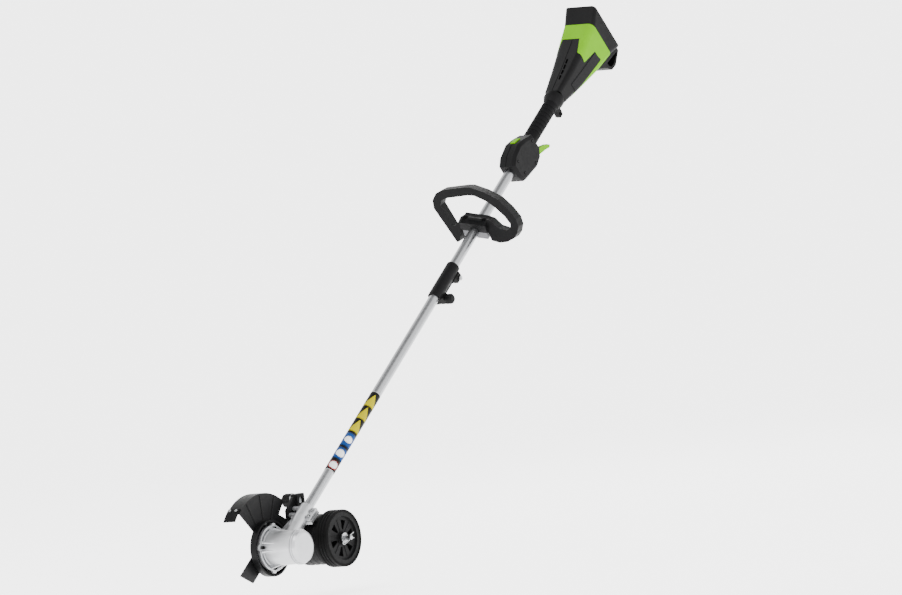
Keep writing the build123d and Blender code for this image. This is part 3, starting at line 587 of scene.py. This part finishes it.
@dataclass
class PowerHousing:
    """Moulded shell of the power housing, with its lime skin, black panels and vents.

    Attributes:
        raised: height of the lime skin over the black one.
        wall: thickness of the shells.
        sections: place, half width, lower edge, upper edge and corner of each ring from the neck to the
            rear block, in millimetres.
        stations: places of the skin's rings along the shaft, in millimetres.
        vent_start: place of the first cooling slot, in millimetres.
        vent_pitch: distance from one slot to the next, in millimetres.
        vent_lean: slope of the panel under the slots, in degrees.
        vent_count: number of slots.
    """

    raised: float = 0.7 * MM
    wall: float = 2.4 * MM
    sections: tuple[tuple[float, ...], ...] = (
        (1522, 23, -18, 20, 9), (1585, 32, -29, 29, 12),
        (1650, 39.5, -39.5, 42, 14), (1710, 44, -44.5, 57, 14),
    )
    stations: tuple[float, ...] = (
        1522, 1528, 1540, 1555, 1570, 1585, 1601, 1617, 1634, 1650, 1665, 1680, 1695, 1710,
    )
    vent_start: float = 1562
    vent_pitch: float = 15.5
    vent_lean: float = 11.5
    vent_count: int = 4

    def section(self, s: float, swell: float = 0.0) -> list[tuple[float, float]]:
        """Ring of the housing at a place along the shaft.

        Args:
            s: place along the shaft, in millimetres.
            swell: growth of the ring, in metres.

        Returns:
            The ring's points.
        """
        for lower, upper in zip(self.sections, self.sections[1:]):
            if s <= upper[0]:
                break
        t = (s - lower[0]) / (upper[0] - lower[0])
        half, low, high, corner = (a + (b - a) * t for a, b in zip(lower[1:], upper[1:]))
        grown = swell / MM
        points = ring_points(half + grown, low - grown, high + grown, corner + grown)
        return [(x * MM, z * MM) for x, z in points]

    def skin(self, swell: float = 0.0) -> bmesh.types.BMesh:
        """The outer skin from neck to hip."""
        return loft([(s * MM, self.section(s, swell)) for s in self.stations])

    def patch(self, cuts: Sequence[tuple[tuple[float, float], tuple[float, float]]],
              sides: int) -> bmesh.types.BMesh:
        """A piece of the raised skin inside the given half planes.

        Args:
            cuts: point and outward direction of each cut, in millimetres along and over the shaft.
            sides: 1 for the wheel side, -1 for the blade side, 0 for both.

        Returns:
            The patch, an open skin.
        """
        bm = self.skin(self.raised)
        for (s, n), (ds, dn) in cuts:
            keep_side(bm, (0, s * MM, n * MM), (0, ds, dn))
        if sides:
            keep_side(bm, (0, 0, 0), (-sides, 0, 0))
        return bm

    def build(self) -> None:
        """Builds the shells, the lime skin, the vents and the trim."""
        body, lime = Body.REAR.value, Slot.LIME.value
        base = self.skin()
        finish_piece(base, "power_shell", body, PANEL, SHAFT, bevel=0.0004, thick=self.wall,
                     replaces=["power_housing_left", "power_housing_right", "colour_band"])
        ring = self.patch([((1671, 0), (-1, 0.0))], 0)
        finish_piece(ring, "lime_ring", body, LIME, SHAFT, bevel=0.0003, thick=self.raised)
        for sides, word in ((1, "left"), (-1, "right")):
            tongue = [((1671.2, 0), (1, 0)), ((1632, 38), (-0.98, 0.2)), ((1627, 11), (-0.14, -0.99))]
            bm = self.patch(tongue, sides)
            keep_side(bm, (sides * (27 if sides > 0 else 36) * MM, 1640 * MM, 0), (-sides, -0.22, 0))
            finish_piece(bm, f"lime_tongue_{word}", body, LIME, SHAFT, bevel=0.0003, thick=self.raised)
            tail = [((1671.2, 0), (1, 0)), ((1669, -24), (0.04, 1.0)), ((1548, -21), (-0.12, 0.99))]
            finish_piece(self.patch(tail, sides), f"lime_tail_{word}", body, LIME, SHAFT, bevel=0.0003,
                         thick=self.raised)
            self.bar(sides, word)
        self.vents()
        self.seam()

    def bar(self, sides: int, word: str) -> None:
        """Slanted plain badge bar on one flank.

        Args:
            sides: 1 or -1.
            word: name of the side.
        """
        proud = self.raised * 1.6
        bm = self.skin(proud)
        for (s, n), (ds, dn) in (((1668, 0), (1, 0.25)), ((1560, 0), (-1, 0)), ((1600, 3), (0, 1)),
                                 ((1600, -22.5), (0, -1))):
            keep_side(bm, (0, s * MM, n * MM), (0, ds, dn))
        keep_side(bm, (0, 0, 0), (-sides, 0, 0))
        finish_piece(bm, f"badge_bar_{word}", Body.REAR.value, PANEL, SHAFT, bevel=0.0004,
                     thick=proud, replaces=["badge_plate"] if sides > 0 else ())

    def vents(self) -> None:
        """Cooling slots in the top panel, each drawn as a near-black box on the skin that paints the shade
        inside the slot.
        """
        top_point = 12
        lean = Matrix.Rotation(math.radians(self.vent_lean), 4, "X")
        for index in range(self.vent_count):
            s = (self.vent_start + index * self.vent_pitch) * MM
            high = self.section(s / MM)[top_point][1]
            # A near-black box standing on the skin: painted shade in place of the open slot.
            slot_shade = bmesh.new()
            box(slot_shade, (4.2 * MM, 12.0 * MM, 1.2 * MM), (7 * MM, s, high + 0.3 * MM), lean)
            finish_piece(slot_shade, f"vent_slot_shade_{index}", Body.REAR.value, SHADE_AND_SEAM, SHAFT,
                         bevel=0.0005)

    def seam(self) -> None:
        """Parting line along the top and the bottom of the shells."""
        for points, word in ((((1526, 20.8), (1585, 29.1), (1650, 42.1), (1668, 46.7)), "top"),
                             (((1526, -19.2), (1585, -29.3), (1650, -39.8), (1668, -41.2)), "bottom")):
            bm = bmesh.new()
            for (s0, n0), (s1, n1) in zip(points, points[1:]):
                lean = Matrix.Rotation(math.atan2(n1 - n0, s1 - s0), 4, "X")
                middle = (0, (s0 + s1) / 2 * MM, (n0 + n1) / 2 * MM)
                box(bm, (0.7 * MM, math.hypot(s1 - s0, n1 - n0) * MM, 0.5 * MM), middle, lean)
            finish_piece(bm, f"parting_line_{word}", Body.REAR.value, SHADE_AND_SEAM, SHAFT)


@dataclass
class TubeLabel:
    """Printed film round the lower tube, with plain colour fields.

    Attributes:
        radius: radius of the film.
        facing: middle of the fields round the tube, in degrees from the wheel side.
        half_wrap: half the angle that a field covers.
    """

    radius: float = 12.42 * MM
    facing: float = 41.0
    half_wrap: float = 88.0

    def wrap(self, bm: bmesh.types.BMesh, lift: float) -> None:
        """Bends a flat mesh, x across and y along, round the tube.

        Args:
            bm: the flat mesh.
            lift: height over the film.
        """
        for vert in bm.verts:
            turn = math.radians(self.facing) + vert.co.x / self.radius
            reach = self.radius + lift + vert.co.z
            vert.co = Vector((math.cos(turn) * reach, vert.co.y, math.sin(turn) * reach))

    def field(self, name: str, outline: Sequence[tuple[float, float]], finish: Finish, lift: float) -> None:
        """One printed field of the film, cut from a fine grid and bent round the tube.

        Args:
            name: name of the piece.
            outline: its corners in turn, in millimetres across and along the tube.
            finish: its finish.
            lift: its height over the film, in millimetres.
        """
        across = [x for x, _ in outline]
        places = [y for _, y in outline]
        wide, tall = max(across) - min(across), max(places) - min(places)
        bm = bmesh.new()
        middle = Matrix.Translation((0, (max(places) + min(places)) / 2 * MM, 0))
        bmesh.ops.create_grid(bm, x_segments=30, y_segments=max(4, round(tall / 3)), size=0.5,
                              matrix=middle @ Matrix.Diagonal((wide * MM, tall * MM, 1, 1)))
        for (x0, y0), (x1, y1) in zip(outline, [*outline[1:], outline[0]]):
            keep_side(bm, (x0 * MM, y0 * MM, 0), (y1 - y0, x0 - x1, 0))
        self.wrap(bm, lift * MM)
        finish_piece(bm, name, Body.LOWER.value, finish, SHAFT, thick=-0.05 * MM)

    def disc(self, name: str, s: float, radius: float, finish: Finish, lift: float) -> None:
        """A round field.

        Args:
            name: name of the piece.
            s: its middle along the shaft, in millimetres.
            radius: its radius.
            finish: its finish.
            lift: its height over the film.
        """
        turns = [2 * math.pi * index / 28 for index in range(28)]
        self.field(name, [(radius * math.cos(a), s + radius * math.sin(a)) for a in turns], finish, lift)

    def strip(self, name: str, start: float, stop: float, finish: Finish, lift: float) -> None:
        """A field across the film.

        Args:
            name: name of the piece.
            start: its lower end along the shaft, in millimetres.
            stop: its upper end.
            finish: its finish.
            lift: its height over the film.
        """
        half = math.radians(self.half_wrap) * self.radius / MM
        self.field(name, [(-half, start), (half, start), (half, stop), (-half, stop)], finish, lift)

    def build(self) -> None:
        """Builds the fields from the motor end upwards."""
        self.strip("film_base", 252, 509, FILM_BLACK, 0.03)
        self.strip("film_blue_low", 289, 325, FILM_BLUE, 0.1)
        self.strip("film_blue_high", 331, 373, FILM_BLUE, 0.1)
        self.disc("film_red_disc", 268, 13.5, FILM_RED, 0.1)
        self.disc("film_white_disc", 268, 11.0, FILM_WHITE, 0.17)
        self.disc("film_disc_low", 307, 11.5, FILM_WHITE, 0.17)
        self.disc("film_disc_high", 352, 10.5, FILM_WHITE, 0.17)
        for index, base in enumerate((379, 421, 463)):
            self.field(f"film_triangle_{index}", [(-17, base), (17, base), (0, base + 39)], FILM_YELLOW, 0.1)


@dataclass
class MotorHead:
    """Ribs and bands of the motor casting.

    Attributes:
        can: radius of the casting round the motor.
        face: face of its flange, along +X.
    """

    can: float = 41 * MM
    face: float = -26 * MM

    def build(self) -> None:
        """Adds the gusset ribs beside each flange screw and two raised bands round the can."""
        bm = bmesh.new()
        for quarter in range(4):
            for shift in (-12.5, 12.5):
                turn = Matrix.Rotation(math.radians(45 + 90 * quarter + shift), 4, "X")
                verts = box(bm, (30 * MM, 3.2 * MM, 12 * MM), (self.face + 15 * MM, 0, self.can + 2.4 * MM))
                for vert in verts:
                    if vert.co.x > 0 and vert.co.z > self.can:
                        vert.co.z = self.can - 1.2 * MM
                bmesh.ops.transform(bm, matrix=turn, verts=verts)
        finish_piece(bm, "flange_gussets", Body.LOWER.value, CAST, SHAFT, bevel=0.0009,
                     segments=3)
        band = bmesh.new()
        for index in range(2):
            disc(band, self.can + 0.5 * MM, 2.2 * MM, ((46 + index * 5) * MM, 0, 0), (1, 0, 0), 0.985, 96)
        finish_piece(band, "can_bands", Body.LOWER.value, CAST, SHAFT, bevel=0.0006)


@dataclass
class Guard:
    """Pressed ribs of the blade guard.

    Attributes:
        hub: inner radius of the ribs.
        rim: their outer radius.
        plane: outer face of the guard's plate, along +X.
    """

    hub: float = 68 * MM
    rim: float = 124 * MM
    plane: float = -46 * MM

    def build(self) -> None:
        """Adds the pressed ribs on the wheel side of the guard plate."""
        bm = bmesh.new()
        size = (1.8 * MM, self.rim - self.hub, 3.4 * MM)
        middle = (self.plane + 0.7 * MM, (self.rim + self.hub) / 2, 0)
        for angle in (32, 57, 82):
            turn = Matrix.Rotation(math.radians(angle), 4, "X")
            verts = box(bm, size, middle)
            bmesh.ops.transform(bm, matrix=turn, verts=verts)
        finish_piece(bm, "guard_ribs", Body.LOWER.value, STEEL, SHAFT, bevel=0.0008,
                     segments=3)


@dataclass
class Wheels:
    """Beads, hub rings and spokes of the depth wheel and the roller.

    Attributes:
        back: axle behind the motor axis.
        up: axle above it.
        outer: outboard face of the tyre, along +X.
    """

    back: float = 135 * MM
    up: float = 1 * MM
    outer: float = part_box("outer_tyre")[1][0]

    def build(self) -> None:
        """Adds the tyre's side beads, the wheel's hub rings and the roller's shoulder ribs."""
        bead = bmesh.new()
        for radius, wire in ((63.6, 0.8), (61.4, 0.6)):
            hoop(bead, radius * MM, wire * MM, (self.outer, self.back, self.up))
        finish_piece(bead, "tyre_beads", Body.WHEEL.value, TREAD, UPRIGHT)
        hub = bmesh.new()
        hoop(hub, 15 * MM, 0.9 * MM, (self.outer - 4.4 * MM, self.back, self.up), flat=0.8)
        hoop(hub, 50.5 * MM, 0.9 * MM, (self.outer - 5.2 * MM, self.back, self.up), flat=0.8)
        for index in range(6):
            turn = Matrix.Rotation(math.radians(45 + 60 * index), 4, "X")
            verts = box(hub, (3.4 * MM, 28 * MM, 2.4 * MM), (self.outer - 6.6 * MM, 31 * MM, 0))
            bmesh.ops.transform(hub, matrix=Matrix.Translation((0, self.back, self.up)) @ turn, verts=verts)
        finish_piece(hub, "wheel_ribs", Body.WHEEL.value, BLACK, UPRIGHT, bevel=0.0006)
        roll = bmesh.new()
        for x in (-24, -8, 8, 24):
            hoop(roll, 57.9 * MM, 0.8 * MM, (x * MM + 2.5 * MM, self.back, self.up), flat=1.6)
        finish_piece(roll, "roller_ribs", Body.ROLLER.value, BLACK, UPRIGHT)


@dataclass
class ControlGrip:
    """Small trim of the trigger housing.

    Attributes:
        half: half width of the housing.
    """

    half: float = 24 * MM

    def build(self) -> None:
        """Adds the screws, each on a wider near-black disc of painted shade for its recess, and the parting
        line.
        """
        rear = Body.REAR.value
        screws, recess_shades = bmesh.new(), bmesh.new()
        for s, n in ((1283, 16), (1283, -20), (1357, 12), (1330, -32)):
            # A near-black disc round each screw paints the shade of its recess.
            disc(recess_shades, 3.6 * MM, 0.5 * MM, (self.half + 0.1 * MM, s * MM, n * MM), (1, 0, 0))
            disc(screws, 2.5 * MM, 1.0 * MM, (self.half + 0.35 * MM, s * MM, n * MM), (1, 0, 0))
        finish_piece(recess_shades, "case_screw_recess_shades", rear, SHADE_AND_SEAM, SHAFT)
        finish_piece(screws, "case_screws", rear, STEEL, SHAFT, bevel=0.0003)
        line = bmesh.new()
        rim = ((1261, 20), (1282, 34), (1316, 40.2), (1322, 38.6))
        for (s0, n0), (s1, n1) in zip(rim, rim[1:]):
            lean = Matrix.Rotation(math.atan2(n1 - n0, s1 - s0), 4, "X")
            box(line, (0.7 * MM, math.hypot(s1 - s0, n1 - n0) * MM, 0.5 * MM),
                (0, (s0 + s1) / 2 * MM, (n0 + n1) / 2 * MM), lean)
        finish_piece(line, "case_parting_line", rear, SHADE_AND_SEAM, SHAFT)


@dataclass
class Studio:
    """Camera, floor and lights.

    Attributes:
        azimuth: direction of the camera round the tool, in degrees.
        elevation: its height over the horizon.
        roll: its turn about the line of sight.
        distance: its distance from the point it looks at, in metres.
        lens: its focal length, in millimetres.
        shift_right: centre of the view right of the middle of the motor head, in metres.
        shift_up: centre of the view above it, in metres.
        floor_glow: strength of the floor's own light.
        sky_stops: height and brightness of each stop of the sky.
        sky_strength: strength of the sky.
    """

    azimuth: float = 37.265
    elevation: float = 3.809
    roll: float = -6.788
    distance: float = 57.402
    lens: float = 1000.0
    shift_right: float = 0.3841
    shift_up: float = 0.5731
    floor_glow: float = 2.4
    sky_stops: tuple[tuple[float, float], ...] = ((0.0, 0.95), (0.3, 0.75), (0.82, 0.75), (0.92, 0.2))
    sky_strength: float = 3.2

    def axes(self) -> Matrix:
        """Camera axes as the columns of a matrix."""
        a, e, roll = (math.radians(v) for v in (self.azimuth, self.elevation, self.roll))
        back = Vector((math.sin(a) * math.cos(e), -math.cos(a) * math.cos(e), math.sin(e)))
        right = Vector((math.cos(a), math.sin(a), 0.0))
        up = back.cross(right)
        turned = right * math.cos(roll) + up * math.sin(roll)
        return Matrix((turned, back.cross(turned), back)).transposed()

    def camera(self) -> None:
        """Makes the camera and aims it."""
        axes = self.axes()
        data = bpy.data.cameras.new("camera")
        data.lens, data.sensor_width = self.lens, 36.0
        data.clip_start, data.clip_end = 10.0, 1500.0
        camera = bpy.data.objects.new("camera", data)
        bpy.context.scene.collection.objects.link(camera)
        centre = HEAD + axes.col[0] * self.shift_right + axes.col[1] * self.shift_up
        camera.matrix_world = Matrix.Translation(centre + axes.col[2] * self.distance) @ axes.to_4x4()
        bpy.context.scene.camera = camera

    def lamp(self, name: str, at: Vector, aim: Vector, size: float, power: float) -> None:
        """A soft square light.

        Args:
            name: name of the light.
            at: its place.
            aim: the point it faces.
            size: its side.
            power: its power, in watts.
        """
        data = bpy.data.lights.new(name, "AREA")
        data.size, data.energy = size, power
        lamp = bpy.data.objects.new(name, data)
        bpy.context.scene.collection.objects.link(lamp)
        lamp.matrix_world = Matrix.Translation(at) @ (at - aim).to_track_quat("Z", "Y").to_matrix().to_4x4()

    def surroundings(self) -> None:
        """Floor, sky and lights."""
        self.floor()
        self.sky()
        self.lamps()

    def floor(self) -> None:
        """Pale floor, as low as the slides can bring the head."""
        slides = [JOINTS[name] for name in ("shaft_pull", "depth_slide")]
        travel = sum(-joint["axis"][2] * joint["range_m"][1] for joint in slides)
        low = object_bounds()[0].z - travel
        bm = bmesh.new()
        bmesh.ops.create_grid(bm, x_segments=1, y_segments=1, size=800.0,
                              matrix=Matrix.Translation((0, 0, low - 0.0006)))
        mesh = bpy.data.meshes.new("floor")
        bm.to_mesh(mesh)
        bm.free()
        floor = bpy.data.objects.new("floor", mesh)
        bpy.context.scene.collection.objects.link(floor)
        paper = Nodes("floor_paper")
        grain = paper.spread(paper.noise(6.0, 2.0), 0.0, 1.0)
        tint = paper.blend(grain, (0.90, 0.90, 0.90), (0.92, 0.92, 0.92))
        paper.link(tint, paper.shader.inputs["Base Color"])
        paper.shader.inputs["Roughness"].default_value = 0.9
        paper.shader.inputs["Emission Color"].default_value = (1.0, 1.0, 1.0, 1.0)
        paper.shader.inputs["Emission Strength"].default_value = self.floor_glow
        mesh.materials.append(paper.material)
        floor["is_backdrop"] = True

    def sky(self) -> None:
        """Soft grey sky that darkens overhead."""
        world = bpy.data.worlds.new("studio")
        world.use_nodes = True
        tree = world.node_tree
        direction = tree.nodes.new("ShaderNodeTexCoord")
        split = tree.nodes.new("ShaderNodeSeparateXYZ")
        ramp = tree.nodes.new("ShaderNodeValToRGB")
        tree.links.new(direction.outputs["Generated"], split.inputs["Vector"])
        tree.links.new(split.outputs["Z"], ramp.inputs["Fac"])
        tree.links.new(ramp.outputs["Color"], tree.nodes["Background"].inputs["Color"])
        elements = ramp.color_ramp.elements
        for index, (place, value) in enumerate(self.sky_stops):
            stop = elements[index] if index < 2 else elements.new(place)
            stop.position, stop.color = place, (value, value, value, 1.0)
        tree.nodes["Background"].inputs["Strength"].default_value = self.sky_strength
        bpy.context.scene.world = world

    def lamps(self) -> None:
        """Key, fill and rim light round the tool."""
        centre = sum((Vector(c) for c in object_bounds()), Vector()) / 2
        axes = self.axes()
        right, up, back = axes.col[0], axes.col[1], axes.col[2]
        self.lamp("key", centre - right * 1.6 + up * 2.2 + back * 1.8, centre, 1.8, 60.0)
        self.lamp("fill", centre + right * 2.4 + up * 0.6 + back * 1.6, centre, 1.6, 22.0)
        self.lamp("rim", centre + right * 0.8 + up * 1.6 - back * 2.2, centre, 1.2, 30.0)


ROUNDED = {
    "handle_loop": 3.2 * MM, "handle_clamp": 0.9 * MM, "trigger_housing_left": 0.5 * MM,
    "trigger_housing_right": 0.5 * MM, "trigger": 1.3 * MM, "lockout_button": 0.45 * MM,
    "rear_frame": 1.4 * MM, "battery_latch": 0.6 * MM, "coupler_sleeve": 0.9 * MM,
    "coupler_knob": 0.8 * MM, "handle_knob": 0.8 * MM,
    "depth_knob": 1.0 * MM, "grip_collar": 0.9 * MM, "rear_grip": 0.5 * MM, "motor_housing": 0.9 * MM,
    "hub_plate": 0.9 * MM, "guard_shell": 0.7 * MM, "guard_flap": 0.6 * MM, "depth_bracket": 0.8 * MM,
    "wheel_strut": 1.0 * MM, "outer_wheel": 1.2 * MM, "outer_tyre": 1.0 * MM, "roller": 1.2 * MM,
    "blade": 0.5 * MM, "blade_nut": 0.6 * MM, "outer_flange": 0.4 * MM,
}


def dress_nodes() -> None:
    """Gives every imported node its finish."""
    for node, piece in frame["nodes"].items():
        piece.data.materials.clear()
        piece.data.materials.append(SLOT_FINISH[SLOT_OF[node]].material())
    LOG.info("%d packed nodes dressed", len(frame["nodes"]))


def main() -> None:
    """Builds every class in order and reports each piece."""
    logging.basicConfig(level=logging.INFO, format="%(message)s")
    builders: tuple[tuple[str, Callable[[], None]], ...] = (
        ("nodes", dress_nodes), ("rounded", Rounded(ROUNDED).build), ("power housing", PowerHousing().build),
        ("label", TubeLabel().build), ("motor head", MotorHead().build), ("guard", Guard().build),
        ("wheels", Wheels().build), ("control grip", ControlGrip().build),
        ("surroundings", Studio().surroundings), ("camera", Studio().camera),
    )
    for word, build in builders:
        LOG.info("building %s", word)
        build()


if __name__ == "__main__":
    main()
